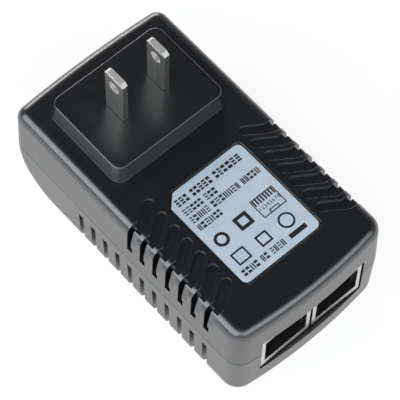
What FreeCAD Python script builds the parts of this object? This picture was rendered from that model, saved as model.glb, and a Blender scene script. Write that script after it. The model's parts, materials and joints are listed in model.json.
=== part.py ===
import FreeCAD, Part
import os
import Sketcher
from FreeCAD import Vector

# Wall-plug PoE injector.  Frame: the back face lies on z = 0, +Z runs out along
# the plug blades, -Y is the end with the two modular jacks, X runs across.

DIMENSIONS = {
    # housing
    "body_width": 46.8, "body_length": 83.8, "body_height": 31.0, "seam_height": 16.5,
    "wall": 2.2, "jack_bow": 1.9, "plug_bow": 0.9, "draft": 1.5, "seam_groove": 0.16,
    "jack_corner": 4.6, "plug_corner": 3.2, "top_round": 2.8, "heel_round": 14.0,
    "lap_width": 0.9, "lap_depth": 1.5, "lap_gap": 0.1,
    # how far a cutting tool runs past the face that it opens
    "past": 1.0,
    # raised plug face
    "plug_centre": 21.6, "plinth_width": 33.2, "plinth_depth": 25.0, "plinth_height": 5.3,
    "plinth_slope": 0.7, "plinth_corner": 2.6, "plinth_edge": 0.3, "plinth_roof": 2.3,
    # plug blades
    "blade_pitch": 12.7, "blade_wide": 6.35, "blade_thick": 1.5, "blade_reach": 16.0,
    "blade_hole": 1.6, "blade_hole_drop": 4.2, "blade_tail": 6.0, "blade_tip_bevel": 0.9,
    "blade_slot_gap": 0.1, "carrier_wide": 27.0, "carrier_deep": 15.0, "carrier_tall": 4.0,
    # label
    "label_width": 23.7, "label_length": 28.9, "label_centre": -15.5, "label_corner": 1.6,
    "label_chamfer": 3.0, "label_thick": 0.15, "label_recess": 0.35, "label_margin": 0.45,
    # vents
    "vent_pitch": 4.5, "front_vent_y": -2.0, "front_vent_wide": 1.4, "front_vent_floor": 21.2,
    "front_vent_foot": 0.4, "front_vent_foot_tall": 2.4,
    "channel_wide": 3.15, "channel_deep": 0.5, "channel_bend": 19.8, "channel_reach": 14.9,
    "channel_slant": 0.683, "channel_end": 1.3, "channel_bulge": 1.29,
    "ramp_lip": 22.2, "ramp_floor": 25.0, "ramp_foot": 23.3,
    "back_vent_y": 16.0, "back_vent_wide": 1.6, "back_vent_top": 12.9, "back_vent_reach": 5.7,
    # jack window and jacks
    "window_wide": 32.4, "window_floor": 7.9, "window_roof": 22.0,
    "jack_pitch": 16.2, "jack_wide": 15.4, "jack_tall": 13.3, "jack_deep": 17.0, "jack_face": -40.6,
    "shield_thick": 0.3, "shield_rail": 1.9, "shield_side": 1.15, "shield_sill": 9.5,
    "latch_wide": 8.2, "latch_roof": 12.1, "socket_wide": 11.9, "socket_floor": 2.2,
    "socket_roof": 9.2, "socket_latch_wide": 6.4, "socket_latch_roof": 11.2, "socket_deep": 13.0,
    "contact_pitch": 1.02, "contact_wide": 0.4, "contact_thick": 0.3, "contact_front": 5.0,
    "contact_rise": 2.2, "contact_short": 3.0, "contact_root": 1.0,
    # circuit board
    "board_wide": 40.0, "board_length": 72.4, "board_y": -0.5, "board_floor": 7.0,
    "board_thick": 1.6, "board_top": 8.6, "post_radius": 2.4, "post_x": 17.0, "post_y": 33.5,
    "holder_radius": 2.0, "holder_gap": 0.1,
    "insulator_thick": 0.4, "insulator_wide": 33.0, "insulator_length": 46.0, "insulator_y": 1.0,
    # transformer
    "transformer_x": 0.0, "transformer_y": -4.0, "core_wide": 19.0, "core_deep": 5.0,
    "core_tall": 16.0, "core_leg": 3.0, "core_centre": 5.0, "core_back": 3.0, "core_lift": 1.5,
    "core_gap": 0.1, "bobbin_gap": 0.25, "bobbin_wall": 0.8, "bobbin_flange": 1.0,
    "rail_deep": 3.2, "rail_pitch": 3.5, "winding_deep": 12.0, "winding_gap": 0.1,
    "flange_margin": 0.5,
    # two-lead and boxed components: centre, radius or size, height
    "bulk_x": 13.0, "bulk_y": 13.0, "bulk_radius": 5.0, "bulk_tall": 16.0,
    "output_cap_x": -13.5, "output_cap_y": -17.5, "output_cap_step": 9.5,
    "output_cap_radius": 4.0, "output_cap_tall": 12.0, "cap_groove": 0.4, "cap_groove_lift": 1.8,
    "cap_lead_pitch": 3.5, "lead_wide": 0.6, "lead_below": 1.2, "lead_bend": 1.5,
    "inductor_x": 6.0, "inductor_y": -17.5, "inductor_radius": 4.0, "inductor_tall": 10.0,
    "inductor_flange": 1.2, "inductor_waist": 2.4, "inductor_coil": 3.6, "inductor_pitch": 4.0,
    "choke_x": 0.0, "choke_y": 29.7, "choke_radius": 5.2, "choke_bore": 2.8, "choke_thick": 5.0,
    "choke_turn": 0.7, "choke_lift": 0.7, "choke_gap": 2.6, "choke_lead": 2.9,
    "x_cap_x": 11.2, "x_cap_y": 29.2, "x_cap_wide": 4.6, "x_cap_deep": 12.5, "x_cap_tall": 9.0,
    "x_cap_pitch": 9.5,
    "y_cap_x": -14.0, "y_cap_y": -4.0, "y_cap_radius": 4.0, "y_cap_thick": 3.0, "y_cap_lift": 1.5,
    "y_cap_pitch": 5.0,
    "fuse_x": -9.8, "fuse_y": 33.9, "fuse_radius": 1.6, "fuse_long": 5.4, "fuse_lift": 0.6,
    "bridge_x": -12.6, "bridge_y": 26.0, "bridge_wide": 8.5, "bridge_deep": 6.4, "bridge_tall": 3.2,
    "sink_x": 0.0, "sink_y": 11.2, "sink_wide": 14.0, "sink_thick": 1.5, "sink_tall": 16.0,
    "sink_pitch": 11.0,
    "switch_wide": 10.0, "switch_thick": 4.2, "switch_tall": 9.0, "switch_lift": 5.0,
    "switch_pitch": 2.5,
    "opto_x": 14.5, "opto_y": -4.0, "opto_wide": 6.4, "opto_deep": 4.6, "opto_tall": 3.4,
    "rectifier_x": 14.5, "rectifier_y": -15.6, "rectifier_radius": 2.5, "rectifier_long": 8.6,
    "rectifier_lift": 0.6,
    "chip_x": 0.0, "chip_y": 18.9, "chip_wide": 4.9, "chip_deep": 3.9, "chip_tall": 1.4,
    "chip_part_long": 2.0, "chip_part_wide": 1.25, "chip_part_tall": 0.6, "chip_part_pitch": 2.6,
    "chip_row_x": 16.0, "chip_row_y": 5.4,
    # mains leads from the blade tails to the board
    "wire_radius": 0.9,
}

FRONT_VENTS = 7
BACK_VENTS = 11
CONTACTS = 8
CHIPS = 5
all_leads = []

os.makedirs("parts", exist_ok=True)
doc = FreeCAD.newDocument("poe_injector")
sheet = doc.addObject("Spreadsheet::Sheet", "dims")
for row, (alias, number) in enumerate(DIMENSIONS.items(), start=1):
    sheet.set(f"A{row}", alias)
    sheet.set(f"B{row}", str(number))
    sheet.setAlias(f"B{row}", alias)
doc.recompute()


# ---------------------------------------------------------------- helpers

def value(expression):
    """Number that an expression on the sheet gives."""
    return float(sheet.evalExpression(expression))


def at(item, x="0", y="0", z="0"):
    """Bind an object's position to expressions."""
    for axis, expression in zip("xyz", (x, y, z)):
        item.setExpression(f"Placement.Base.{axis}", expression)
    return item


def turn(item, axis, degrees):
    """Turn an object about its own base point."""
    item.Placement.Rotation = FreeCAD.Rotation(axis, degrees)
    return item


def block(name, wide, deep, tall, x="0", y="0", z="0"):
    """Box centred on (x, y) that stands on z."""
    item = doc.addObject("Part::Box", name)
    item.setExpression("Length", wide)
    item.setExpression("Width", deep)
    item.setExpression("Height", tall)
    return at(item, f"({x}) - ({wide})/2", f"({y}) - ({deep})/2", z)


def rod(name, radius, tall, x="0", y="0", z="0"):
    """Upright cylinder on (x, y) that stands on z."""
    item = doc.addObject("Part::Cylinder", name)
    item.setExpression("Radius", radius)
    item.setExpression("Height", tall)
    return at(item, x, y, z)


def lying_rod(name, radius, long, x, y, z, axis):
    """Cylinder centred on (x, y, z) along X or Y."""
    item = rod(name, radius, long)
    turn(item, Vector(0, 1, 0) if axis == "x" else Vector(-1, 0, 0), 90)
    start = {"x": x, "y": y, "z": z}
    start[axis] = f"({start[axis]}) - ({long})/2"
    return at(item, **start)


def joined(name, *pieces):
    """Boolean sum of several objects, or a group of separate solids."""
    item = doc.addObject("Part::MultiFuse", name)
    item.Shapes = list(pieces)
    return item


def cut(name, base, *tools):
    """Base with the tools taken away."""
    item = doc.addObject("Part::Cut", name)
    item.Base = base
    item.Tool = tools[0] if len(tools) == 1 else joined(name + "_tools", *tools)
    return item


def overlap(name, *pieces):
    """Boolean common part of several objects."""
    item = doc.addObject("Part::MultiCommon", name)
    item.Shapes = list(pieces)
    return item


def mirrored(name, source):
    """Copy on the other side of the middle plane."""
    item = doc.addObject("Part::Mirroring", name)
    item.Source = source
    item.Normal = Vector(1, 0, 0)
    return item


def new_body(name):
    body = doc.addObject("PartDesign::Body", name)
    body.AllowCompound = True
    return body


def sketch_on(body, role, offset="0", name="sketch"):
    """Sketch on one of the body's origin planes, moved along its normal."""
    sketch = body.newObject("Sketcher::SketchObject", f"{body.Name}_{name}")
    plane = next(item for item in body.Origin.OriginFeatures if item.Role == role)
    sketch.AttachmentSupport = [(plane, "")]
    sketch.MapMode = "FlatFace"
    sketch.setExpression("AttachmentOffset.Base.z", offset)
    return sketch


def outline(sketch, corners, arcs=None):
    """Closed counter-clockwise profile through corners given as expressions.

    arcs gives the sagitta of each side that bulges outward, by its number."""
    arcs = arcs or {}
    points = [Vector(value(x), value(y), 0) for x, y in corners]
    first = sketch.GeometryCount
    for side, start in enumerate(points):
        end = points[(side + 1) % len(points)]
        if side in arcs:
            along = end - start
            outward = Vector(along.y, -along.x, 0).normalize()
            middle = (start + end) / 2 + outward * value(arcs[side])
            sketch.addGeometry(Part.Arc(start, middle, end))
        else:
            sketch.addGeometry(Part.LineSegment(start, end))
    for side, (x, y) in enumerate(corners):
        here, after = first + side, first + (side + 1) % len(points)
        sketch.addConstraint(Sketcher.Constraint("Coincident", here, 2, after, 1))
        for kind, expression, number in (("DistanceX", x, points[side].x),
                                         ("DistanceY", y, points[side].y)):
            index = sketch.addConstraint(Sketcher.Constraint(kind, -1, 1, here, 1, number))
            sketch.setExpression(f"Constraints[{index}]", expression)
        if side in arcs:
            x_end, y_end = corners[(side + 1) % len(corners)]
            chord = f"((({x_end}) - ({x}))^2 + (({y_end}) - ({y}))^2)"
            radius = f"{chord}/(8*({arcs[side]})) + ({arcs[side]})/2"
            constraint = Sketcher.Constraint("Radius", here, value(radius))
            index = sketch.addConstraint(constraint)
            sketch.setExpression(f"Constraints[{index}]", radius)


def rectangle(sketch, wide, tall, x="0", y="0"):
    """Rectangle centred on (x, y) of the sketch."""
    left, right = f"({x}) - ({wide})/2", f"({x}) + ({wide})/2"
    low, high = f"({y}) - ({tall})/2", f"({y}) + ({tall})/2"
    outline(sketch, [(left, low), (right, low), (right, high), (left, high)])


def pad(body, sketch, length, flip=False, middle=False, taper=None):
    feature = body.newObject("PartDesign::Pad", f"{sketch.Name}_pad")
    feature.Profile = sketch
    feature.setExpression("Length", length)
    feature.Reversed = flip
    feature.Midplane = middle
    if taper:
        feature.setExpression("TaperAngle", taper)
    return feature


def round_edges(body, base, radius, wanted):
    """Fillet the edges of a feature that the test picks."""
    doc.recompute()
    names = [f"Edge{n}" for n, edge in enumerate(base.Shape.Edges, start=1) if wanted(edge)]
    feature = body.newObject("PartDesign::Fillet", f"{base.Name}_fillet")
    feature.Base = (base, names)
    feature.setExpression("Radius", radius)
    return feature


def is_upright(edge):
    """True for a straight edge that mostly climbs."""
    low, high = edge.Vertexes[0].Point, edge.Vertexes[-1].Point
    run = high - low
    return len(edge.Vertexes) == 2 and abs(run.z) > 0.9 * run.Length


def lies_at(edge, height):
    return all(abs(vertex.Z - height) < 1e-4 for vertex in edge.Vertexes)


def at_plug_end(edge):
    return all(vertex.Y > value("dims.plug_centre") for vertex in edge.Vertexes)


def prism(name, inset, floor, tall, draft=None, down=False, heel=None):
    """Upright prism of the housing's plan outline, drawn in by inset.

    It grows up or down from the floor, its walls lean in by the draft angle, and heel rounds
    the lower edge at the plug end."""
    body = new_body(name)
    sketch = sketch_on(body, "XY_Plane", floor)
    side = f"(dims.body_width/2 - ({inset}))"
    jack_end = f"-dims.body_length/2 + dims.jack_bow + ({inset})"
    plug_end = f"dims.body_length/2 - dims.plug_bow - ({inset})"
    outline(sketch, [(f"-{side}", jack_end), (side, jack_end), (side, plug_end),
                     (f"-{side}", plug_end)], {0: "dims.jack_bow", 2: "dims.plug_bow"})
    solid = pad(body, sketch, tall, flip=down, taper=draft)
    if heel:
        low = value(f"({floor}) - ({tall})")
        solid = round_edges(body, solid, heel,
                            lambda edge: lies_at(edge, low) and at_plug_end(edge))
    solid = round_edges(body, solid, f"dims.jack_corner - ({inset})",
                        lambda edge: is_upright(edge) and edge.Vertexes[0].Y < 0)
    solid = round_edges(body, solid, f"dims.plug_corner - ({inset})",
                        lambda edge: is_upright(edge) and at_plug_end(edge))
    return body, solid


# ---------------------------------------------------------------- housing

def front_vent_tools():
    """Side slots and the slanted channels that lead into them, +X side."""
    tools = []
    for number in range(FRONT_VENTS):
        y = f"dims.front_vent_y - {number}*dims.vent_pitch"
        tall = "dims.body_height - dims.channel_deep - dims.front_vent_floor"
        across, x = "2*dims.wall", "dims.body_width/2"
        slot = block(f"front_slot_{number}", across, "dims.front_vent_wide", tall, x, y,
                     "dims.front_vent_floor")
        foot = block(f"front_foot_{number}", across, "dims.front_vent_wide",
                     "dims.front_vent_foot_tall", x, f"{y} - dims.front_vent_foot",
                     "dims.front_vent_floor")
        tools += [slot, foot, channel(number, y), ramp(number, y)]
    return tools


def ramp(number, y):
    """Wedge that slopes a channel's mouth down over the rounded edge on to the wall."""
    body = new_body(f"ramp_{number}")
    middle = f"({y}) + dims.front_vent_wide/2 - dims.channel_wide/2"
    sketch = sketch_on(body, "XZ_Plane", f"-({middle})")
    top, out = "dims.body_height + dims.past", "dims.body_width/2 + dims.past"
    outline(sketch, [("dims.ramp_foot", "dims.ramp_floor"), (out, "dims.ramp_floor"), (out, top),
                     ("dims.ramp_lip", top),
                     ("dims.ramp_lip", "dims.body_height - dims.channel_deep")])
    pad(body, sketch, "dims.channel_wide", middle=True)
    return body


def channel(number, y):
    """Slanted shallow channel with a rounded inner end."""
    body = new_body(f"channel_{number}")
    sketch = sketch_on(body, "XY_Plane", "dims.body_height - dims.channel_deep")
    outer = "dims.body_width/2 + dims.past"
    top = f"({y}) + dims.front_vent_wide/2"
    low = f"({top}) - dims.channel_wide"
    rise = "(dims.channel_bend - dims.channel_reach)*dims.channel_slant"
    tip_low = "dims.channel_reach - dims.channel_end*sin(atan(dims.channel_slant))"
    tip_drop = "dims.channel_end*cos(atan(dims.channel_slant))"
    middle = f"({top}) + ({rise}) - dims.channel_wide/2"
    inner_low = (tip_low, f"({middle}) - ({tip_drop})")
    inner_top = (f"2*dims.channel_reach - ({tip_low})", f"({middle}) + ({tip_drop})")
    outline(sketch, [(outer, low), (outer, top), ("dims.channel_bend", top), inner_top,
                     inner_low, ("dims.channel_bend", low)], {3: "dims.channel_bulge"})
    pad(body, sketch, "2*dims.channel_deep")
    return body


def back_vent_tools():
    """Slots in the lower side walls that run round on to the back face, +X side."""
    tools = []
    for number in range(BACK_VENTS):
        y = f"dims.back_vent_y - {number}*dims.vent_pitch"
        tools.append(block(f"back_slot_{number}", "dims.back_vent_reach + 2*dims.wall",
                           "dims.back_vent_wide", "dims.back_vent_top + dims.past",
                           "dims.body_width/2 - dims.back_vent_reach/2 + dims.wall", y,
                           "-dims.past"))
    return tools


def window(name):
    """Opening in the jack end that both covers share."""
    return block(name, "dims.window_wide", "6*dims.wall", "dims.window_roof - dims.window_floor",
                 "0", "-dims.body_length/2", "dims.window_floor")


def plinth():
    """Raised plug face with sloping sides."""
    body = new_body("plinth")
    sketch = sketch_on(body, "XY_Plane", "dims.body_height - dims.plinth_roof")
    grow = "2*dims.plinth_slope*(1 + dims.plinth_roof/dims.plinth_height)"
    rectangle(sketch, f"dims.plinth_width + {grow}", f"dims.plinth_depth + {grow}", "0",
              "dims.plug_centre")
    solid = pad(body, sketch, "dims.plinth_height + dims.plinth_roof",
                taper="-atan(dims.plinth_slope/dims.plinth_height)")
    solid = round_edges(body, solid, "dims.plinth_corner", is_upright)
    top = value("dims.body_height + dims.plinth_height")
    round_edges(body, solid, "dims.plinth_edge", lambda edge: lies_at(edge, top))
    return body


def seam_ring(name, floor):
    """Ring that cuts a fine groove along the outer edge of the seam."""
    wide, _ = prism(name + "_out", "-dims.past", floor, "dims.seam_groove")
    core, _ = prism(name + "_core", "dims.seam_groove", floor, "dims.seam_groove")
    return cut(name, wide, core)


def label_outline(sketch, margin):
    """Rounded rectangle with one corner cut off at the plug end."""
    x = f"(dims.label_width/2 + {margin})"
    low = f"dims.label_centre - dims.label_length/2 - {margin}"
    high = f"dims.label_centre + dims.label_length/2 + {margin}"
    r, c = "dims.label_corner", "dims.label_chamfer"
    corners = [(f"-{x} + {r}", low), (f"{x} - {r}", low), (x, f"{low} + {r}"),
               (x, f"{high} - {r}"), (f"{x} - {r}", high), (f"-{x} + {c}", high),
               (f"-{x}", f"{high} - {c}"), (f"-{x}", f"{low} + {r}")]
    bulge = f"{r}*(1 - sqrt(0.5))"
    outline(sketch, corners, {1: bulge, 3: bulge, 7: bulge})


def front_cover():
    """Upper shell: plug face, label recess, vents and half of the jack window."""
    outer, solid = prism("front_block", "0", "dims.seam_height",
                         "dims.body_height - dims.seam_height", draft="-dims.draft")
    top = value("dims.body_height")
    round_edges(outer, solid, "dims.top_round", lambda edge: lies_at(edge, top))
    lap, _ = prism("front_lap", "dims.wall - dims.lap_width",
                   "dims.seam_height - dims.lap_depth", "dims.lap_depth")
    hollow, _ = prism("front_hollow", "dims.wall", "dims.seam_height - dims.lap_depth",
                      "dims.body_height - dims.seam_height + dims.lap_depth - dims.wall")
    plinth_hollow = block("plinth_hollow", "dims.plinth_width - 2*dims.wall",
                          "dims.plinth_depth - 2*dims.wall",
                          "2*dims.wall + dims.plinth_height - dims.plinth_roof", "0",
                          "dims.plug_centre", "dims.body_height - 2*dims.wall")
    recess = new_body("label_pocket")
    sketch = sketch_on(recess, "XY_Plane", "dims.body_height - dims.label_recess")
    label_outline(sketch, "dims.label_margin")
    pad(recess, sketch, "dims.past")
    slots = [block(f"blade_slot_{side}", "dims.blade_thick + 2*dims.blade_slot_gap",
                   "dims.blade_wide + 2*dims.blade_slot_gap", "2*dims.plinth_roof",
                   f"{sign}*dims.blade_pitch/2", "dims.plug_centre",
                   "dims.body_height + dims.plinth_height - 1.5*dims.plinth_roof")
             for side, sign in (("left", -1), ("right", 1))]
    vents = joined("front_vents", *front_vent_tools())
    shell = cut("front_shell", joined("front_solid", outer, plinth(), lap), hollow,
                plinth_hollow, recess, *slots, vents, mirrored("front_vents_left", vents),
                window("front_window"), seam_ring("front_groove", "dims.seam_height"))
    holders = [rod(f"board_holder_{side}", "dims.holder_radius",
                   "dims.body_height - dims.wall/2 - dims.board_top - dims.holder_gap",
                   f"{sign}*dims.post_x", "dims.board_y + dims.post_y",
                   "dims.board_top + dims.holder_gap")
               for side, sign in (("left", -1), ("right", 1))]
    return joined("front_cover", shell, *holders)


def back_cover():
    """Lower shell: back face, vents, board posts and half of the jack window."""
    outer, _ = prism("back_block", "0", "dims.seam_height", "dims.seam_height",
                         draft="-dims.draft", down=True, heel="dims.heel_round")
    hollow, _ = prism("back_hollow", "dims.wall", "dims.seam_height + dims.past",
                      "dims.seam_height + dims.past - dims.wall", down=True,
                      heel="dims.heel_round - dims.wall")
    rebate, _ = prism("back_rebate", "dims.wall - dims.lap_width - dims.lap_gap",
                      "dims.seam_height - dims.lap_depth - dims.lap_gap",
                      "dims.lap_depth + dims.past")
    vents = joined("back_vents", *back_vent_tools())
    shell = cut("back_shell", outer, hollow, rebate, vents, mirrored("back_vents_left", vents),
                window("back_window"),
                seam_ring("back_groove", "dims.seam_height - dims.seam_groove"))
    posts = []
    for x in (-1, 1):
        for y in (-1, 1):
            spot = (f"{x}*dims.post_x", f"dims.board_y + {y}*dims.post_y")
            post = rod(f"post_{x}_{y}", "dims.post_radius", "dims.board_floor - dims.wall/2",
                       *spot, "dims.wall/2")
            posts.append(overlap(f"post_{x}_{y}_trimmed", post, outer))
    return joined("back_cover", shell, *posts)


def rating_label():
    """Thin bare label sheet that lies in the recess."""
    body = new_body("rating_label")
    sketch = sketch_on(body, "XY_Plane", "dims.body_height - dims.label_recess")
    label_outline(sketch, "0")
    pad(body, sketch, "dims.label_thick")
    return body


# ---------------------------------------------------------------- mains plug

def plug_blade(name, side):
    """Flat blade with a detent hole, bevelled tip and narrow solder tail."""
    body = new_body(name + "_blank")
    sketch = sketch_on(body, "YZ_Plane", f"{side}*dims.blade_pitch/2")
    low = "dims.body_height + dims.plinth_height - dims.plinth_roof - dims.carrier_tall"
    tip = "dims.body_height + dims.plinth_height + dims.blade_reach"
    half, tail, y = "dims.blade_wide/2", "dims.blade_wide/4", "dims.plug_centre"
    outline(sketch, [(f"{y} - {tail}", f"{low} - dims.blade_tail"),
                     (f"{y} + {tail}", f"{low} - dims.blade_tail"), (f"{y} + {tail}", low),
                     (f"{y} + {half}", low), (f"{y} + {half}", f"{tip} - dims.blade_tip_bevel"),
                     (f"{y} + {half} - dims.blade_tip_bevel", tip),
                     (f"{y} - {half} + dims.blade_tip_bevel", tip),
                     (f"{y} - {half}", f"{tip} - dims.blade_tip_bevel"),
                     (f"{y} - {half}", low), (f"{y} - {tail}", low)])
    pad(body, sketch, "dims.blade_thick", middle=True)
    hole = lying_rod(name + "_hole", "dims.blade_hole", "3*dims.blade_thick",
                     f"{side}*dims.blade_pitch/2", y, f"{tip} - dims.blade_hole_drop", "x")
    return cut(name, body, hole)


def blade_carrier(blades):
    """Insulating block inside the plinth that grips both blades."""
    tall = "dims.carrier_tall"
    floor = "dims.body_height + dims.plinth_height - dims.plinth_roof - dims.carrier_tall"
    base = block("carrier_block", "dims.carrier_wide", "dims.carrier_deep", tall, "0",
                 "dims.plug_centre", floor)
    return cut("blade_carrier", base, *blades)


def mains_lead(name, side):
    """Insulated lead from a blade tail down to the board."""
    top = ("(dims.body_height + dims.plinth_height - dims.plinth_roof - dims.carrier_tall"
           " - dims.blade_tail)")
    return rod(name, "dims.wire_radius", f"{top} - dims.board_top",
               f"{side}*dims.blade_pitch/2", "dims.plug_centre", "dims.board_top")


# ---------------------------------------------------------------- jacks

def jack_place(side):
    return f"{side}*dims.jack_pitch/2"


def stepped(name, side, floor, wide, step, latch_wide, roof, deep):
    """T-shaped opening, cut in from the face: a wide lower part under a narrow latch recess."""
    body = new_body(name)
    sketch = sketch_on(body, "XZ_Plane", "dims.past - dims.jack_face")
    x, half, latch = jack_place(side), f"({wide})/2", f"({latch_wide})/2"
    z = "dims.board_top + "
    outline(sketch, [(f"{x} - {half}", z + floor), (f"{x} + {half}", z + floor),
                     (f"{x} + {half}", z + step), (f"{x} + {latch}", z + step),
                     (f"{x} + {latch}", z + roof), (f"{x} - {latch}", z + roof),
                     (f"{x} - {latch}", z + step), (f"{x} - {half}", z + step)])
    pad(body, sketch, f"{deep} + dims.past", flip=True)
    return body


def jack(name, side):
    """Shielded 8-way modular jack: metal shield, plastic housing, eight contacts."""
    x, y = jack_place(side), "dims.jack_face + dims.jack_deep/2"
    can = block(name + "_can", "dims.jack_wide", "dims.jack_deep", "dims.jack_tall", x, y,
                "dims.board_top")
    inner = block(name + "_inner", "dims.jack_wide - 2*dims.shield_thick", "dims.jack_deep",
                  "dims.jack_tall - dims.shield_thick + dims.past", x,
                  f"{y} + dims.shield_thick", "dims.board_top - dims.past")
    mouth_shape = ("dims.shield_rail", "dims.jack_wide - 2*dims.shield_side",
                   "dims.shield_sill + dims.shield_rail", "dims.latch_wide", "dims.latch_roof")
    mouth = stepped(name + "_mouth", side, *mouth_shape, "2*dims.shield_thick")
    shield = cut(name + "_shield", can, inner, mouth)
    core = block(name + "_core", "dims.jack_wide - 2*dims.shield_thick",
                 "dims.jack_deep - dims.shield_thick", "dims.jack_tall - dims.shield_thick", x,
                 f"{y} + dims.shield_thick/2", "dims.board_top")
    socket = stepped(name + "_socket", side, "dims.socket_floor", "dims.socket_wide",
                     "dims.socket_roof", "dims.socket_latch_wide", "dims.socket_latch_roof",
                     "dims.socket_deep")
    lead_in = stepped(name + "_lead_in", side, *mouth_shape, "4*dims.shield_thick")
    contacts = contact_comb(name + "_contacts", side)
    housing = cut(name + "_housing", core, socket, lead_in, contacts)
    return shield, housing, contacts


def contact_comb(name, side):
    """Eight bent spring contacts that slope up into the socket."""
    combs = []
    for number in range(CONTACTS):
        body = new_body(f"{name}_{number}")
        offset = f"{jack_place(side)} + ({number} - {CONTACTS - 1}/2)*dims.contact_pitch"
        sketch = sketch_on(body, "YZ_Plane", offset)
        front, floor = "dims.jack_face + dims.contact_front", "dims.board_top + dims.socket_floor"
        root = "dims.jack_face + dims.socket_deep + dims.contact_root"
        tip = "dims.jack_face + dims.socket_deep - dims.contact_short"
        top, t = f"{floor} + dims.contact_rise", "dims.contact_thick"
        outline(sketch, [(front, f"{floor} - {t}"), (root, f"{floor} - {t}"), (root, floor),
                         (f"{front} + {t}", floor), (tip, top), (tip, f"{top} + {t}"),
                         (front, f"{floor} + {t}")])
        pad(body, sketch, "dims.contact_wide", middle=True)
        combs.append(body)
    return joined(name, *combs)


# ---------------------------------------------------------------- circuit board

def leads(name, *spots):
    """Square leads that pass through the board and end just under it."""
    pins = [block(f"{name}_lead_{number}", "dims.lead_wide", "dims.lead_wide",
                  "dims.board_thick + dims.lead_below", x, y,
                  "dims.board_floor - dims.lead_below")
            for number, (x, y) in enumerate(spots)]
    all_leads.extend(pins)
    return pins


def shifted(expression, step):
    return f"({expression}) + ({step})"


def pair(key, axis, pitch):
    """Two lead places about a component's centre, along X or Y."""
    x, y = f"dims.{key}_x", f"dims.{key}_y"
    if axis == "x":
        return (shifted(x, f"-({pitch})/2"), y), (shifted(x, f"({pitch})/2"), y)
    return (x, shifted(y, f"-({pitch})/2")), (x, shifted(y, f"({pitch})/2"))


def circuit_board():
    """Glass-fibre board with a square hole for each lead."""
    blank = block("board_blank", "dims.board_wide", "dims.board_length", "dims.board_thick",
                  "0", "dims.board_y", "dims.board_floor")
    return cut("circuit_board", blank, joined("board_holes", *all_leads))


def insulation_sheet():
    """Insulating sheet on the floor of the back cover."""
    return block("insulation_sheet", "dims.insulator_wide", "dims.insulator_length",
                 "dims.insulator_thick", "0", "dims.insulator_y", "dims.wall")


# ---------------------------------------------------------------- transformer

TRANSFORMER = ("dims.transformer_x", "dims.transformer_y")


def core_half(name, upper):
    """One E-shaped ferrite half, its legs towards the other half."""
    body = new_body(name)
    sketch = sketch_on(body, "XZ_Plane", "-dims.transformer_y")
    base = "(dims.board_top + dims.core_lift)"
    sign, datum = ("-", f"({base} + dims.core_tall)") if upper else ("+", base)
    full = f"{datum} {sign} (dims.core_tall - dims.core_gap)/2"
    back = f"{datum} {sign} dims.core_back"
    x, half, centre = "dims.transformer_x", "dims.core_wide/2", "dims.core_centre/2"
    leg = f"({half} - dims.core_leg)"
    right = [(f"{x} + {half}", datum), (f"{x} + {half}", full), (f"{x} + {leg}", full),
             (f"{x} + {leg}", back), (f"{x} + {centre}", back), (f"{x} + {centre}", full)]
    left = [(place.replace(" + ", " - "), z) for place, z in reversed(right)]
    corners = right + left
    outline(sketch, corners[::-1] if upper else corners)
    pad(body, sketch, "dims.core_deep", middle=True)
    return body


def transformer():
    """Ferrite core halves, bobbin with pin rails, and the wound coil."""
    x, y = TRANSFORMER
    core = joined("transformer_core", core_half("core_lower", False),
                  core_half("core_upper", True))
    floor = "dims.board_top + dims.core_lift + dims.core_back"
    tall = "dims.core_tall - 2*dims.core_back"
    window = "dims.core_wide - 2*dims.core_leg - 2*dims.bobbin_gap"
    leg_wide = "dims.core_centre + 2*dims.bobbin_gap"
    leg_deep = "dims.core_deep + 2*dims.bobbin_gap"
    hole = block("bobbin_hole", leg_wide, leg_deep, "dims.core_tall", x, y, floor)
    tube = block("bobbin_tube", f"{leg_wide} + 2*dims.bobbin_wall",
                 f"{leg_deep} + 2*dims.bobbin_wall", tall, x, y, floor)
    flanges = [block(f"bobbin_flange_{end}", window, "dims.winding_deep + 2*dims.flange_margin",
                     "dims.bobbin_flange", x, y, z)
               for end, z in (("low", floor), ("high", f"{floor} + {tall} - dims.bobbin_flange"))]
    step = "(dims.core_deep/2 + dims.bobbin_gap + dims.rail_deep/2)"
    rails = [block(f"bobbin_rail_{sign}", window, "dims.rail_deep",
                   "dims.core_lift + dims.core_back + dims.bobbin_flange/2", x,
                   f"{y} + {sign}*{step}", "dims.board_top") for sign in (-1, 1)]
    pins = leads("transformer", *[(f"{x} + {place}*dims.rail_pitch", f"{y} + {sign}*{step}")
                                  for place in (-1.5, -0.5, 0.5, 1.5) for sign in (-1, 1)])
    frame = joined("bobbin_frame", tube, *flanges, *rails, *pins)
    bobbin = cut("transformer_bobbin", frame, hole)
    coil = block("winding_coil", f"{window} - 2*dims.winding_gap", "dims.winding_deep",
                 f"{tall} - 2*dims.bobbin_flange", x, y, f"{floor} + dims.bobbin_flange")
    eye = block("winding_eye", f"{leg_wide} + 2*dims.bobbin_wall",
                f"{leg_deep} + 2*dims.bobbin_wall", "dims.core_tall", x, y, floor)
    return core, bobbin, cut("transformer_winding", coil, eye)


# ---------------------------------------------------------------- board components

def capacitor_can(name, key, x, y):
    """Sleeved electrolytic can with a crimp groove and two leads."""
    can = rod(name + "_can", f"dims.{key}_radius", f"dims.{key}_tall", x, y, "dims.board_top")
    groove = doc.addObject("Part::Torus", name + "_groove")
    groove.setExpression("Radius1", f"dims.{key}_radius + dims.cap_groove/2")
    groove.setExpression("Radius2", "dims.cap_groove")
    at(groove, x, y, "dims.board_top + dims.cap_groove_lift")
    pins = leads(name, (shifted(x, "-dims.cap_lead_pitch/2"), y),
                 (shifted(x, "dims.cap_lead_pitch/2"), y))
    return joined(name, cut(name + "_body", can, groove), *pins)


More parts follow.
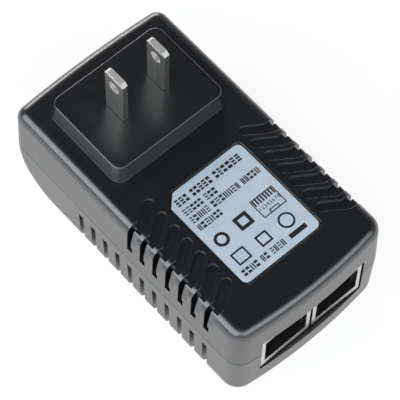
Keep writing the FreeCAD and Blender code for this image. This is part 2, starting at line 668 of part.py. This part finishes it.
def bulk_capacitors():
    """Pair of high-voltage input capacitors."""
    return joined("bulk_capacitors", *[
        capacitor_can(f"bulk_{side}", "bulk", f"{sign}*dims.bulk_x", "dims.bulk_y")
        for side, sign in (("left", -1), ("right", 1))])


def output_capacitors():
    """Pair of low-voltage output capacitors."""
    return joined("output_capacitors", *[
        capacitor_can(f"output_cap_{number}", "output_cap",
                      f"dims.output_cap_x + {number}*dims.output_cap_step", "dims.output_cap_y")
        for number in range(2)])


def output_inductor():
    """Drum core with its coil."""
    x, y = "dims.inductor_x", "dims.inductor_y"
    flange = "dims.inductor_flange"
    low = rod("drum_low", "dims.inductor_radius", flange, x, y, "dims.board_top")
    waist = rod("drum_waist", "dims.inductor_waist", "dims.inductor_tall", x, y, "dims.board_top")
    high = rod("drum_high", "dims.inductor_radius", flange, x, y,
               f"dims.board_top + dims.inductor_tall - {flange}")
    pins = leads("inductor", *pair("inductor", "x", "dims.inductor_pitch"))
    core = joined("inductor_core", low, waist, high, *pins)
    coil = rod("coil_block", "dims.inductor_coil", f"dims.inductor_tall - 2*{flange}", x, y,
               f"dims.board_top + {flange}")
    return core, cut("inductor_coil", coil, waist)


def common_mode_choke():
    """Flat ring core with two windings on opposite sides."""
    x, y, z = "dims.choke_x", "dims.choke_y", "dims.board_top + dims.choke_lift"
    ring = cut("choke_core", rod("ring_out", "dims.choke_radius", "dims.choke_thick", x, y, z),
               rod("ring_bore", "dims.choke_bore", "3*dims.choke_thick", x, y,
                   z + " - dims.choke_thick"))
    turn_out = rod("turn_out", "dims.choke_radius + dims.choke_turn",
                   "dims.choke_thick + 2*dims.choke_turn", x, y, z + " - dims.choke_turn")
    turn_bore = rod("turn_bore", "dims.choke_bore - dims.choke_turn", "3*dims.choke_thick", x, y,
                    z + " - dims.choke_thick")
    sleeve = cut("choke_sleeve", turn_out, turn_bore, ring)
    gap = block("choke_gap", "dims.choke_gap", "3*dims.choke_radius", "3*dims.choke_thick", x, y,
                z + " - dims.choke_thick")
    coils = cut("choke_coils", sleeve, gap)
    spots = [(f"{x} + {i}*dims.choke_lead", f"{y} + {j}*dims.choke_lead")
             for i in (-1, 1) for j in (-1, 1)]
    return ring, joined("choke_winding", coils, *leads("choke", *spots))


def x_capacitor():
    """Boxed film capacitor across the mains."""
    box = block("x_cap_box", "dims.x_cap_wide", "dims.x_cap_deep", "dims.x_cap_tall",
                "dims.x_cap_x", "dims.x_cap_y", "dims.board_top")
    return joined("x_capacitor", box, *leads("x_cap", *pair("x_cap", "y", "dims.x_cap_pitch")))


def y_capacitor():
    """Disc capacitor that bridges the isolation gap."""
    disc = lying_rod("y_cap_disc", "dims.y_cap_radius", "dims.y_cap_thick", "dims.y_cap_x",
                     "dims.y_cap_y", "dims.board_top + dims.y_cap_lift + dims.y_cap_radius", "x")
    legs = [block(f"y_cap_leg_{n}", "dims.lead_wide", "dims.lead_wide",
                  "dims.y_cap_lift + dims.y_cap_radius", x, y, "dims.board_top")
            for n, (x, y) in enumerate(pair("y_cap", "y", "dims.y_cap_pitch"))]
    return joined("y_capacitor", disc, *legs,
                  *leads("y_cap", *pair("y_cap", "y", "dims.y_cap_pitch")))


def axial_part(name, key, axis):
    """Barrel that lies on the board between two bent leads."""
    x, y = f"dims.{key}_x", f"dims.{key}_y"
    z = f"dims.board_top + dims.{key}_lift + dims.{key}_radius"
    barrel = lying_rod(name + "_barrel", f"dims.{key}_radius", f"dims.{key}_long", x, y, z, axis)
    span = f"dims.{key}_long + 2*dims.lead_bend"
    if axis == "x":
        bridge = block(name + "_bridge", f"{span} + dims.lead_wide", "dims.lead_wide",
                       "dims.lead_wide", x, y, z)
    else:
        bridge = block(name + "_bridge", "dims.lead_wide", f"{span} + dims.lead_wide",
                       "dims.lead_wide", x, y, z)
    legs = [block(f"{name}_leg_{n}", "dims.lead_wide", "dims.lead_wide",
                  f"dims.{key}_lift + dims.{key}_radius", spot_x, spot_y, "dims.board_top")
            for n, (spot_x, spot_y) in enumerate(pair(key, axis, span))]
    return joined(name, barrel, bridge, *legs, *leads(name, *pair(key, axis, span)))


def bridge_rectifier():
    """Moulded bridge with four leads."""
    case = block("bridge_case", "dims.bridge_wide", "dims.bridge_deep", "dims.bridge_tall",
                 "dims.bridge_x", "dims.bridge_y", "dims.board_top")
    spots = [(f"dims.bridge_x + {i}*dims.bridge_wide/3", f"dims.bridge_y + {j}*dims.bridge_deep/3")
             for i in (-1, 1) for j in (-1, 1)]
    return joined("bridge_rectifier", case, *leads("bridge", *spots))


def heat_sink():
    """Upright aluminium plate behind the power switch."""
    plate = block("sink_plate", "dims.sink_wide", "dims.sink_thick", "dims.sink_tall",
                  "dims.sink_x", "dims.sink_y", "dims.board_top")
    return joined("heat_sink", plate, *leads("sink", *pair("sink", "x", "dims.sink_pitch")))


def power_switch():
    """Moulded power transistor flat against the heat sink, on three leads."""
    y = "dims.sink_y + dims.sink_thick/2 + dims.switch_thick/2"
    case = block("switch_case", "dims.switch_wide", "dims.switch_thick", "dims.switch_tall",
                 "dims.sink_x", y, "dims.board_top + dims.switch_lift")
    spots = [(f"dims.sink_x + {n}*dims.switch_pitch", y) for n in (-1, 0, 1)]
    legs = [block(f"switch_leg_{n}", "dims.lead_wide", "dims.lead_wide", "dims.switch_lift", x, y,
                  "dims.board_top") for n, (x, y) in enumerate(spots)]
    return joined("power_switch", case, *legs, *leads("switch", *spots))


def optocoupler():
    """Four-lead isolating coupler."""
    case = block("opto_case", "dims.opto_wide", "dims.opto_deep", "dims.opto_tall",
                 "dims.opto_x", "dims.opto_y", "dims.board_top")
    spots = [(f"dims.opto_x + {i}*dims.opto_wide/3", f"dims.opto_y + {j}*dims.opto_deep/4")
             for i in (-1, 1) for j in (-1, 1)]
    return joined("optocoupler", case, *leads("opto", *spots))


def controller_chip():
    """Surface-mounted switching controller."""
    return block("controller_chip", "dims.chip_wide", "dims.chip_deep", "dims.chip_tall",
                 "dims.chip_x", "dims.chip_y", "dims.board_top")


def chip_row(name, side):
    """Row of small surface-mounted parts across the board."""
    return joined(name, *[
        block(f"{name}_{number}", "dims.chip_part_wide", "dims.chip_part_long",
              "dims.chip_part_tall", f"{side}*(dims.chip_row_x - {number}*dims.chip_part_pitch)",
              "dims.chip_row_y", "dims.board_top") for number in range(CHIPS)])


# ---------------------------------------------------------------- assembly

def build():
    """Make every sub-part and name it."""
    left_blade, right_blade = plug_blade("plug_blade_left", -1), plug_blade("plug_blade_right", 1)
    parts = [front_cover(), back_cover(), rating_label(), left_blade, right_blade,
             blade_carrier([left_blade, right_blade]), mains_lead("line_lead", -1),
             mains_lead("neutral_lead", 1)]
    for name, side in (("left_jack", -1), ("right_jack", 1)):
        parts += jack(name, side)
    parts += transformer()
    parts += [bulk_capacitors(), output_capacitors(), *output_inductor(), *common_mode_choke(),
              x_capacitor(), y_capacitor(), axial_part("input_fuse", "fuse", "x"),
              axial_part("output_rectifier", "rectifier", "y"), bridge_rectifier(), heat_sink(),
              power_switch(), optocoupler(), controller_chip(), chip_row("chip_resistors", -1),
              chip_row("chip_capacitors", 1), insulation_sheet()]
    parts.append(circuit_board())
    for part in parts:
        part.Label = part.Name
    return parts


def write(parts):
    """Check every object and write one file for each sub-part."""
    doc.recompute()
    failed = [item.Name for item in doc.Objects
              if {"Invalid", "Error"} & set(item.State)]
    failed += [part.Name for part in parts if part.Shape.isNull() or not part.Shape.isValid()]
    if failed:
        raise RuntimeError(f"failed objects: {failed}")
    for part in parts:
        part.Shape.exportStep(f"parts/{part.Label}.step")
        box = part.Shape.BoundBox
        print(f"{part.Label:22s} {len(part.Shape.Solids):3d} solids {part.Shape.Volume:9.1f} mm3"
              f"  x {box.XMin:6.1f} {box.XMax:6.1f}  y {box.YMin:6.1f} {box.YMax:6.1f}"
              f"  z {box.ZMin:5.1f} {box.ZMax:5.1f}")


write(build())
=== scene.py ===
import json
import math
import random

import bmesh
import bpy
from mathutils import Matrix, Vector


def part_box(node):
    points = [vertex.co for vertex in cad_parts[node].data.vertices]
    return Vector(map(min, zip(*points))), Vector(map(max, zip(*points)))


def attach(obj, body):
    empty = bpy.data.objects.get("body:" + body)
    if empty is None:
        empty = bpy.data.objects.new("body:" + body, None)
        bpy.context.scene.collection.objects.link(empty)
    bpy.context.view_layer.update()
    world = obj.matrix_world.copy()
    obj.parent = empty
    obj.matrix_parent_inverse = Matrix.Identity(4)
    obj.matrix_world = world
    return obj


# Looks of a wall-plug PoE injector.  Lengths are in metres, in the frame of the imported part:
# the back face lies on z = 0, +Z runs out along the blades, -Y is the end with the jacks.

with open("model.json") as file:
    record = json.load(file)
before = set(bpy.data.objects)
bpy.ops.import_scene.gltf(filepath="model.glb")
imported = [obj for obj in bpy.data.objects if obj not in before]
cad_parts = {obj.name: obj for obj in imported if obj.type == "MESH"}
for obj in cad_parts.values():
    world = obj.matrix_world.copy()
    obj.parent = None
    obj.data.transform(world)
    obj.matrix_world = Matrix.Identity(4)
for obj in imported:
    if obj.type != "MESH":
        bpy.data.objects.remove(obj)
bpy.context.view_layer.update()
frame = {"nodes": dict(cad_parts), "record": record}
MM = 0.001
NODES = frame["nodes"]


# ---------------------------------------------------------------- camera and stage

CAMERA_TARGET = Vector((-5.3, -6.7, 31.0)) * MM
CAMERA_DISTANCE = 510.0 * MM
CAMERA_AZIMUTH = math.radians(-42.96)
CAMERA_ELEVATION = math.radians(61.99)
CAMERA_ROLL = math.radians(1.72)
CAMERA_LENS = 196.86
CAMERA_SENSOR = 36.0


def make_camera():
    """Long lens that looks steeply down on the plug face from the jack end's left."""
    a, e, r = CAMERA_AZIMUTH, CAMERA_ELEVATION, CAMERA_ROLL
    right = Vector((math.cos(a), math.sin(a), 0))
    back = Vector((math.sin(a) * math.cos(e), -math.cos(a) * math.cos(e), math.sin(e)))
    up = back.cross(right)
    rolled_right = math.cos(r) * right + math.sin(r) * up
    rolled_up = math.cos(r) * up - math.sin(r) * right
    data = bpy.data.cameras.new("camera")
    data.sensor_width = CAMERA_SENSOR
    data.lens = CAMERA_LENS
    data.clip_start, data.clip_end = 0.01, 20
    camera = bpy.data.objects.new("camera", data)
    turn = Matrix((rolled_right, rolled_up, back)).transposed()
    camera.matrix_world = (Matrix.Translation(CAMERA_TARGET + CAMERA_DISTANCE * back)
                           @ turn.to_4x4())
    bpy.context.scene.collection.objects.link(camera)
    bpy.context.scene.camera = camera


def soft_box(name, place, size, radiance, tint):
    """Rectangular lamp that faces the part."""
    data = bpy.data.lights.new(name, "AREA")
    data.shape = "RECTANGLE"
    data.size, data.size_y = size
    data.energy = radiance * math.pi * size[0] * size[1]
    data.color = tint
    lamp = bpy.data.objects.new(name, data)
    lamp.location = place
    lamp.rotation_mode = "QUATERNION"
    lamp.rotation_quaternion = (Vector(place) - Vector((0, 0, 0.02))).to_track_quat("Z", "Y")
    bpy.context.scene.collection.objects.link(lamp)


COOL = (0.90, 0.955, 1.0)
NEUTRAL = (1.0, 1.0, 1.0)


def make_lamps():
    """A key box on the left, one off the jack end and a low rim box behind."""
    soft_box("key_box", (-0.52, 0.02, 0.44), (0.95, 0.55), 2.7, COOL)
    soft_box("front_box", (0.02, -0.56, 0.46), (0.85, 0.42), 2.1, COOL)
    soft_box("rim_box", (0.30, 0.62, 0.22), (0.50, 0.16), 7.0, NEUTRAL)


# height from straight down (0) to straight up (1), and the light that comes from there
WORLD_STOPS = ((0.0, 0.25), (0.12, 0.12), (0.35, 0.24), (0.60, 0.13), (0.80, 0.03), (1.0, 0.02))
WORLD_TINT = (0.86, 0.93, 1.0)


def make_world():
    """Studio that is dim overhead and brighter round the sides."""
    world = bpy.data.worlds.new("studio")
    bpy.context.scene.world = world
    world.use_nodes = True
    net = world.node_tree
    net.nodes.clear()
    place = net.nodes.new("ShaderNodeTexCoord")
    split = net.nodes.new("ShaderNodeSeparateXYZ")
    ramp = net.nodes.new("ShaderNodeValToRGB")
    sky = net.nodes.new("ShaderNodeBackground")
    out = net.nodes.new("ShaderNodeOutputWorld")
    net.links.new(place.outputs["Generated"], split.inputs[0])
    net.links.new(split.outputs["Z"], ramp.inputs["Fac"])
    net.links.new(ramp.outputs["Color"], sky.inputs["Color"])
    net.links.new(sky.outputs[0], out.inputs["Surface"])
    while len(ramp.color_ramp.elements) < len(WORLD_STOPS):
        ramp.color_ramp.elements.new(0.5)
    for element, (height, level) in zip(ramp.color_ramp.elements, WORLD_STOPS):
        element.position = height
        element.color = (*(level * part for part in WORLD_TINT), 1)
    sky.inputs["Strength"].default_value = 1.0


FLOOR_SIZE = 6.0
FLOOR_DROP = 0.0001
FLOOR_LEVEL = 0.86
FLOOR_VEIL = (0.22, 0.22, 0.22)
FLOOR_BOUNCE = (0.80, 0.80, 0.80)


def make_floor():
    """White sweep: white to the camera and in reflections, with a faint shadow."""
    mesh = bpy.data.meshes.new("floor")
    half = FLOOR_SIZE / 2
    corners = [(-half, -half, 0), (half, -half, 0), (half, half, 0), (-half, half, 0)]
    mesh.from_pydata(corners, [], [(0, 1, 2, 3)])
    floor = bpy.data.objects.new("floor", mesh)
    floor.location.z = -FLOOR_DROP
    bpy.context.scene.collection.objects.link(floor)
    paint = bpy.data.materials.new("floor_paint")
    paint.use_nodes = True
    net = paint.node_tree
    net.nodes.clear()
    add, mix = net.nodes.new("ShaderNodeAddShader"), net.nodes.new("ShaderNodeMixShader")
    glow, veil = net.nodes.new("ShaderNodeEmission"), net.nodes.new("ShaderNodeBsdfDiffuse")
    plain, rays = net.nodes.new("ShaderNodeBsdfDiffuse"), net.nodes.new("ShaderNodeLightPath")
    out = net.nodes.new("ShaderNodeOutputMaterial")
    glow.inputs["Strength"].default_value = FLOOR_LEVEL
    veil.inputs["Color"].default_value = (*FLOOR_VEIL, 1)
    plain.inputs["Color"].default_value = (*FLOOR_BOUNCE, 1)
    seen = rays.outputs["Is Camera Ray"]
    for kind in ("Is Glossy Ray", "Is Transmission Ray"):
        either = net.nodes.new("ShaderNodeMath")
        either.operation = "MAXIMUM"
        net.links.new(seen, either.inputs[0])
        net.links.new(rays.outputs[kind], either.inputs[1])
        seen = either.outputs[0]
    net.links.new(glow.outputs[0], add.inputs[0])
    net.links.new(veil.outputs[0], add.inputs[1])
    net.links.new(seen, mix.inputs["Fac"])
    net.links.new(plain.outputs[0], mix.inputs[1])
    net.links.new(add.outputs[0], mix.inputs[2])
    net.links.new(mix.outputs[0], out.inputs["Surface"])
    mesh.materials.append(paint)


# ---------------------------------------------------------------- material helpers

NOISE_ROUGHNESS = 0.55
# sockets of the Mix node that hold colours
MIX_FIRST, MIX_SECOND, MIX_RESULT = 6, 7, 2


class Paint:
    """A Principled material with helpers for its procedural detail."""

    def __init__(self, name, colour, roughness, metal=0.0):
        self.material = bpy.data.materials.new(name)
        self.material.use_nodes = True
        self.net = self.material.node_tree
        self.shader = self.net.nodes["Principled BSDF"]
        self.shader.inputs["Base Color"].default_value = (*colour, 1)
        self.shader.inputs["Roughness"].default_value = roughness
        self.shader.inputs["Metallic"].default_value = metal
        self.place = self.net.nodes.new("ShaderNodeTexCoord").outputs["Object"]
        self.normal = None

    def node(self, kind, **settings):
        """New node of the material with some of its settings."""
        item = self.net.nodes.new(kind)
        for key, setting in settings.items():
            setattr(item, key, setting)
        return item

    def link(self, start, end):
        """Join an output to an input."""
        self.net.links.new(start, end)

    def stretched(self, scale):
        """Object coordinates scaled along each axis."""
        mapping = self.node("ShaderNodeMapping")
        mapping.inputs["Scale"].default_value = scale
        self.link(self.place, mapping.inputs["Vector"])
        return mapping.outputs["Vector"]

    def noise(self, size, detail=3.0, vector=None):
        """Noise whose blotches are about size metres across."""
        item = self.node("ShaderNodeTexNoise")
        item.inputs["Scale"].default_value = 1 / size
        item.inputs["Detail"].default_value = detail
        item.inputs["Roughness"].default_value = NOISE_ROUGHNESS
        self.link(vector or self.place, item.inputs["Vector"])
        return item.outputs["Fac"]

    def spread(self, source, low, high, start=0.3, end=0.7):
        """Map a texture value to the range low to high."""
        item = self.node("ShaderNodeMapRange")
        for key, number in (("From Min", start), ("From Max", end), ("To Min", low),
                            ("To Max", high)):
            item.inputs[key].default_value = number
        self.link(source, item.inputs["Value"])
        return item.outputs["Result"]

    def blend_colours(self, source, first, second):
        """Base colour that wanders between two colours."""
        item = self.node("ShaderNodeMix", data_type="RGBA")
        item.inputs[MIX_FIRST].default_value = (*first, 1)
        item.inputs[MIX_SECOND].default_value = (*second, 1)
        self.link(source, item.inputs[0])
        self.link(item.outputs[MIX_RESULT], self.shader.inputs["Base Color"])

    def vary_roughness(self, source, low, high):
        """Roughness that wanders between low and high."""
        self.link(self.spread(source, low, high), self.shader.inputs["Roughness"])

    def round_edges(self, radius):
        """Soft highlight along sharp edges."""
        item = self.node("ShaderNodeBevel", samples=6)
        item.inputs["Radius"].default_value = radius
        self.normal = item.outputs["Normal"]
        self.link(self.normal, self.shader.inputs["Normal"])

    def bump(self, source, depth):
        """Relief that is depth metres deep, on top of any rounded edges."""
        item = self.node("ShaderNodeBump")
        item.inputs["Strength"].default_value = 1.0
        item.inputs["Distance"].default_value = depth
        self.link(source, item.inputs["Height"])
        if self.normal:
            self.link(self.normal, item.inputs["Normal"])
        self.normal = item.outputs["Normal"]
        self.link(self.normal, self.shader.inputs["Normal"])


# above the 1.5 of real ABS: chosen for the sheen of the sides
HOUSING_IOR = 2.2


def housing_plastic():
    """Black satin ABS with a fine spark-eroded texture."""
    paint = Paint("housing_plastic", (0.0065, 0.007, 0.0088), 0.42)
    cloud = paint.noise(9 * MM)
    paint.blend_colours(paint.spread(cloud, 0, 1), (0.0058, 0.0062, 0.0082),
                        (0.0078, 0.0082, 0.0102))
    paint.vary_roughness(paint.noise(0.5 * MM), 0.27, 0.34)
    paint.shader.inputs["IOR"].default_value = HOUSING_IOR
    paint.round_edges(0.16 * MM)
    paint.bump(paint.noise(0.22 * MM, detail=4.0), 0.004 * MM)
    return paint.material


def label_film():
    """Pale silver film with a faint mottle."""
    paint = Paint("label_film", (0.60, 0.68, 0.76), 0.38)
    cloud = paint.noise(4.5 * MM, detail=5.0)
    paint.blend_colours(paint.spread(cloud, 0, 1), (0.56, 0.65, 0.74), (0.66, 0.73, 0.80))
    paint.vary_roughness(paint.noise(0.4 * MM), 0.30, 0.45)
    paint.bump(paint.noise(0.35 * MM), 0.004 * MM)
    return paint.material


def label_ink():
    """Thermal-printed black."""
    paint = Paint("label_ink", (0.012, 0.012, 0.014), 0.5)
    paint.blend_colours(paint.spread(paint.noise(0.3 * MM), 0, 1), (0.010, 0.010, 0.012),
                        (0.022, 0.022, 0.026))
    paint.bump(paint.noise(0.15 * MM), 0.003 * MM)
    return paint.material


def plated_metal(name, colour, roughness, lines):
    """Plated metal with streaks, whose direction is given as a stretch of the noise."""
    paint = Paint(name, colour, roughness, metal=1.0)
    streaks = paint.noise(1.0, detail=4.0, vector=paint.stretched(lines))
    low = tuple(c * 0.86 for c in colour)
    paint.blend_colours(paint.spread(streaks, 0, 1), low, colour)
    paint.vary_roughness(streaks, roughness * 0.8, roughness * 1.3)
    paint.round_edges(0.08 * MM)
    paint.bump(streaks, 0.003 * MM)
    return paint.material


BLADE_HOLE_DROP = 4.2 * MM
HOLE_RIM = (1.62 * MM, 1.75 * MM)
TIP_FADE = (1.3 * MM, 0.7 * MM)
SHINY, SHEARED = 0.26, 0.62


def blade_metal():
    """Bright nickel plate, drawn along the blade, with rough sheared tips and detent holes."""
    paint = Paint("blade_metal", (0.84, 0.82, 0.77), SHINY, metal=1.0)
    streaks = paint.noise(1.0, detail=4.0, vector=paint.stretched((3000, 3000, 60)))
    paint.blend_colours(paint.spread(streaks, 0, 1), (0.66, 0.65, 0.62), (0.84, 0.82, 0.77))
    low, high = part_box("plug_blade_left")
    split = paint.node("ShaderNodeSeparateXYZ")
    paint.link(paint.place, split.inputs[0])
    tip = paint.spread(split.outputs["Z"], 0, 1, high.z - TIP_FADE[0], high.z - TIP_FADE[1])
    middle = Vector((0, (low.y + high.y) / 2, high.z - BLADE_HOLE_DROP))
    offset = paint.node("ShaderNodeVectorMath", operation="SUBTRACT")
    flat = paint.node("ShaderNodeVectorMath", operation="MULTIPLY")
    reach = paint.node("ShaderNodeVectorMath", operation="LENGTH")
    offset.inputs[1].default_value = middle
    flat.inputs[1].default_value = (0, 1, 1)
    paint.link(paint.place, offset.inputs[0])
    paint.link(offset.outputs[0], flat.inputs[0])
    paint.link(flat.outputs[0], reach.inputs[0])
    rim = paint.spread(reach.outputs["Value"], 1, 0, *HOLE_RIM)
    sheared = paint.node("ShaderNodeMath", operation="MAXIMUM")
    paint.link(tip, sheared.inputs[0])
    paint.link(rim, sheared.inputs[1])
    roughness = paint.spread(sheared.outputs[0], SHINY, SHEARED, 0, 1)
    paint.link(roughness, paint.shader.inputs["Roughness"])
    paint.round_edges(0.10 * MM)
    paint.bump(streaks, 0.003 * MM)
    return paint.material


def moulded(name, colour, roughness, grain):
    """Moulded or dipped surface with a fine grain and slight colour wander."""
    paint = Paint(name, colour, roughness)
    lighter = tuple(min(1.0, c * 1.25 + 0.002) for c in colour)
    paint.blend_colours(paint.spread(paint.noise(6 * grain), 0, 1), colour, lighter)
    paint.vary_roughness(paint.noise(grain), roughness * 0.85, min(1.0, roughness * 1.15))
    paint.bump(paint.noise(grain, detail=4.0), 0.006 * MM)
    return paint.material


# length of one wave of the Wave texture, times its scale
WAVE_LENGTH = 0.314


def wound_wire(name, colour, pitch):
    """Turns of enamelled wire that lie side by side, with painted shade in the creases between
    them.
    """
    paint = Paint(name, colour, 0.3, metal=0.6)
    wave = paint.node("ShaderNodeTexWave", bands_direction="Z")
    wave.inputs["Scale"].default_value = WAVE_LENGTH / pitch
    wave.inputs["Distortion"].default_value = 0.4
    paint.link(paint.place, wave.inputs["Vector"])
    # the darker bands in the troughs between turns are painted shade, not a colour of the wire
    low = tuple(c * 0.45 for c in colour)
    paint.blend_colours(wave.outputs["Fac"], low, colour)
    paint.bump(wave.outputs["Fac"], 0.1 * MM)
    return paint.material


FINE, COARSE = 0.3 * MM, 0.7 * MM
SLEEVE, TAPE = 0.9 * MM, 0.8 * MM

# colour, roughness and size of the grain
MOULDED = {
    "carrier_plastic": ((0.08, 0.08, 0.085), 0.5, FINE),
    "lead_sleeve": ((0.02, 0.02, 0.02), 0.4, FINE),
    "jack_plastic": ((0.010, 0.010, 0.011), 0.42, FINE),
    "ferrite": ((0.05, 0.05, 0.055), 0.65, FINE),
    "bobbin_plastic": ((0.03, 0.03, 0.03), 0.5, FINE),
    "winding_tape": ((0.80, 0.58, 0.08), 0.25, TAPE),
    "capacitor_sleeve": ((0.03, 0.035, 0.05), 0.3, SLEEVE),
    "film_box": ((0.45, 0.43, 0.38), 0.4, FINE),
    "disc_coat": ((0.06, 0.16, 0.42), 0.35, FINE),
    "fuse_body": ((0.55, 0.50, 0.42), 0.5, FINE),
    "moulded_black": ((0.02, 0.02, 0.022), 0.6, FINE),
    "chip_ceramic": ((0.34, 0.24, 0.15), 0.5, FINE),
    "insulator_film": ((0.55, 0.53, 0.45), 0.25, FINE),
    "board_laminate": ((0.006, 0.03, 0.016), 0.5, COARSE),
}

# colour, roughness and how the streaks are stretched along X, Y and Z
PLATED = {
    "shield_metal": ((0.66, 0.65, 0.62), 0.30, (90, 2500, 2500)),
    "contact_metal": ((0.83, 0.62, 0.25), 0.22, (3000, 90, 3000)),
    "sink_metal": ((0.62, 0.63, 0.64), 0.35, (90, 2500, 2500)),
}


def make_materials():
    """One finish for each material slot of the record."""
    finishes = {
        "housing_plastic": housing_plastic(),
        "label_film": label_film(),
        "blade_metal": blade_metal(),
        "enamelled_wire": wound_wire("enamelled_wire", (0.62, 0.26, 0.12), 0.4 * MM),
    }
    for slot, settings in MOULDED.items():
        finishes[slot] = moulded(slot, *settings)
    for slot, settings in PLATED.items():
        finishes[slot] = plated_metal(slot, *settings)
    return finishes


def paint_nodes(finishes):
    """Give each CAD node the finish of its slot."""
    for row in frame["record"]["subparts"]:
        mesh = NODES[row["node"]].data
        mesh.materials.clear()
        mesh.materials.append(finishes[row["material_slot"]])


# ---------------------------------------------------------------- label artwork

INK_THICK = 0.02 * MM
LABEL_LOW, LABEL_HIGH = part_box("rating_label")
LETTER = 1.75
PINS, PIN_PITCH = 8, 0.82
RING_STEPS = 40
# type size of a digit, over its height
TYPE_SIZE = 1.35


class Artwork:
    """Flat printed shapes, placed in millimetres from the label's upper left corner."""

    def __init__(self):
        self.mesh = bmesh.new()

    def bar(self, left, drop, wide, tall):
        """Solid bar whose upper left corner is (left, drop)."""
        x, y = LABEL_LOW.x + left * MM, LABEL_HIGH.y - drop * MM
        z = LABEL_HIGH.z + INK_THICK / 2
        scale = Matrix.Diagonal((wide * MM, tall * MM, INK_THICK, 1))
        centre = Matrix.Translation((x + wide * MM / 2, y - tall * MM / 2, z))
        bmesh.ops.create_cube(self.mesh, size=1, matrix=centre @ scale)

    def frame(self, left, drop, wide, tall, line):
        """Outline of a rectangle."""
        self.bar(left, drop, wide, line)
        self.bar(left, drop + tall - line, wide, line)
        self.bar(left, drop + line, line, tall - 2 * line)
        self.bar(left + wide - line, drop + line, line, tall - 2 * line)

    def ring(self, left, drop, radius, line):
        """Circle drawn with a line, centred on (left, drop)."""
        x, y = LABEL_LOW.x + left * MM, LABEL_HIGH.y - drop * MM
        z = LABEL_HIGH.z
        rows = []
        for number in range(RING_STEPS):
            turn = 2 * math.pi * number / RING_STEPS
            rows.append([self.mesh.verts.new((x + math.cos(turn) * r * MM,
                                              y + math.sin(turn) * r * MM, z + lift))
                         for r, lift in ((radius - line, 0), (radius - line, INK_THICK),
                                         (radius, INK_THICK), (radius, 0))])
        for row, after in zip(rows, rows[1:] + rows[:1]):
            for side in range(4):
                self.mesh.faces.new((row[side], after[side], after[(side + 1) % 4],
                                     row[(side + 1) % 4]))

    def words(self, left, drop, tall, letters, draw, weight=0.19):
        """Row of letter-sized marks that stand in for words."""
        gap, space = 0.17 * tall, 0.42 * tall
        for count in letters:
            for _ in range(count):
                wide = tall * draw.uniform(0.42, 0.60)
                self.mark(left, drop, wide, tall, draw.choice(("rungs", "posts", "block")), weight)
                left += wide + gap
            left += space

    def mark(self, left, drop, wide, tall, shape, weight):
        """Letter-sized filler: level rungs, two posts, or a block with a slit."""
        line = weight * tall
        if shape == "rungs":
            for place in (0, (tall - line) / 2, tall - line):
                self.bar(left, drop + place, wide, line)
        elif shape == "posts":
            self.bar(left, drop, line, tall)
            self.bar(left + wide - line, drop, line, tall)
        else:
            self.bar(left, drop, wide, 0.38 * tall)
            self.bar(left, drop + 0.62 * tall, wide, 0.38 * tall)

    def finish(self, name, material):
        """Make the shapes one piece on the label."""
        data = bpy.data.meshes.new(name)
        self.mesh.to_mesh(data)
        self.mesh.free()
        data.materials.append(material)
        piece = bpy.data.objects.new(name, data)
        bpy.context.scene.collection.objects.link(piece)
        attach(piece, "root")


def label_print(material):
    """Generic artwork: filler rows for words, plain shapes, and a numbered pin-out outline."""
    draw = random.Random(7)
    art = Artwork()
    art.words(1.6, 1.9, 2.0, (3, 5, 6), draw, 0.24)
    art.words(1.45, 5.0, LETTER, (5, 3), draw)
    art.words(1.45, 7.55, LETTER, (5, 7, 5), draw)
    art.words(1.45, 10.1, LETTER, (6,), draw)
    art.frame(14.8, 13.6, 7.0, 5.5, 0.28)
    for number in range(PINS):
        art.bar(15.2 + number * PIN_PITCH, 13.8, 0.44, 1.75)
    art.frame(17.0, 18.0, 2.9, 1.1, 0.28)
    art.ring(3.6, 16.6, 1.9, 0.75)
    art.frame(8.6, 14.4, 4.0, 3.8, 0.9)
    art.ring(18.3, 22.7, 2.1, 0.5)
    art.frame(9.4, 21.2, 3.4, 3.2, 0.5)
    art.frame(2.2, 20.9, 3.9, 3.6, 0.45)
    art.words(1.4, 25.6, LETTER, (4, 2, 4), draw)
    art.bar(15.9, 25.9, 5.1, 1.25)
    art.finish("label_print", material)
    for number in range(PINS):
        numeral(str(number + 1), 15.15 + number * PIN_PITCH, 17.2, 1.05, material)


def numeral(text, left, foot, tall, material):
    """One printed digit."""
    data = bpy.data.curves.new(f"numeral_{text}", "FONT")
    data.body = text
    data.size = tall * TYPE_SIZE * MM
    data.extrude = INK_THICK / 2
    data.materials.append(material)
    piece = bpy.data.objects.new(f"numeral_{text}", data)
    piece.location = (LABEL_LOW.x + left * MM, LABEL_HIGH.y - foot * MM,
                      LABEL_HIGH.z + INK_THICK / 2)
    bpy.context.scene.collection.objects.link(piece)
    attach(piece, "root")


# ---------------------------------------------------------------- build

bpy.context.scene.view_settings.view_transform = "Standard"
make_camera()
make_lamps()
make_world()
make_floor()
paint_nodes(make_materials())
label_print(label_ink())
